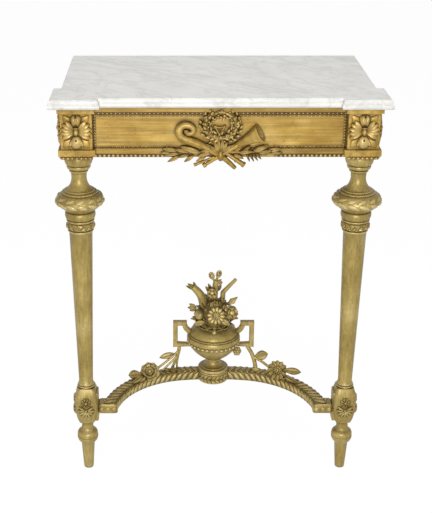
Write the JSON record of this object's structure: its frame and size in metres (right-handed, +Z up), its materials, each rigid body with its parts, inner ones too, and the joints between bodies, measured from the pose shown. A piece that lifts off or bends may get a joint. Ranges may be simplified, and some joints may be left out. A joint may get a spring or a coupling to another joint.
{
  "type": "pier table",
  "caption": "Wall-fixed giltwood pier table with a marble top, carved frieze and trophy, turned legs, bowed stretcher and a flower urn.",
  "frame": {"origin": "on the floor, under the middle of the table's plan", "axes": "+Z up, the front looks along -Y, the wall lies at the back (+Y), +X to the right seen from the front"},
  "size_m": [0.69, 0.405, 0.88],
  "materials": {
    "marble": "honed white-grey veined marble",
    "gilding": "aged satin gilding over gesso",
    "bare_wood": "unfinished secondary wood"
  },
  "bodies": {
    "root": {"back_rail": "bare_wood", "bouquet_bud": "gilding", "bouquet_daisy": "gilding", "bouquet_leaves": "gilding", "bouquet_left_branch": "gilding", "bouquet_mound": "gilding", "bouquet_pomegranate": "gilding", "bouquet_right_branch": "gilding", "bouquet_rose": "gilding", "front_lower_beads": "gilding", "front_panel_beads": "gilding", "front_rail": "gilding", "front_upper_beads": "gilding", "horn": "gilding", "left_block_beads": "gilding", "left_corner_block": "gilding", "left_front_rosette": "gilding", "left_garland": "gilding", "left_glue_block": "bare_wood", "left_leg": "gilding", "left_lower_beads": "gilding", "left_outer_rosette": "gilding", "left_panel_beads": "gilding", "left_side_rail": "gilding", "left_spray": "gilding", "left_upper_beads": "gilding", "lyre": "gilding", "marble_top": "marble", "pipes": "gilding", "right_block_beads": "gilding", "right_corner_block": "gilding", "right_front_rosette": "gilding", "right_garland": "gilding", "right_glue_block": "bare_wood", "right_leg": "gilding", "right_lower_beads": "gilding", "right_outer_rosette": "gilding", "right_panel_beads": "gilding", "right_side_rail": "gilding", "right_spray": "gilding", "right_upper_beads": "gilding", "stretcher_dowels": "bare_wood", "stretcher_hub": "gilding", "stretcher_left_arm": "gilding", "stretcher_right_arm": "gilding", "tenon_pegs": "bare_wood", "trumpet": "gilding", "urn_bowl": "gilding", "urn_dowel": "bare_wood", "urn_foot": "gilding", "urn_left_handle": "gilding", "urn_right_handle": "gilding", "wreath": "gilding"}
  },
  "joints": []
}
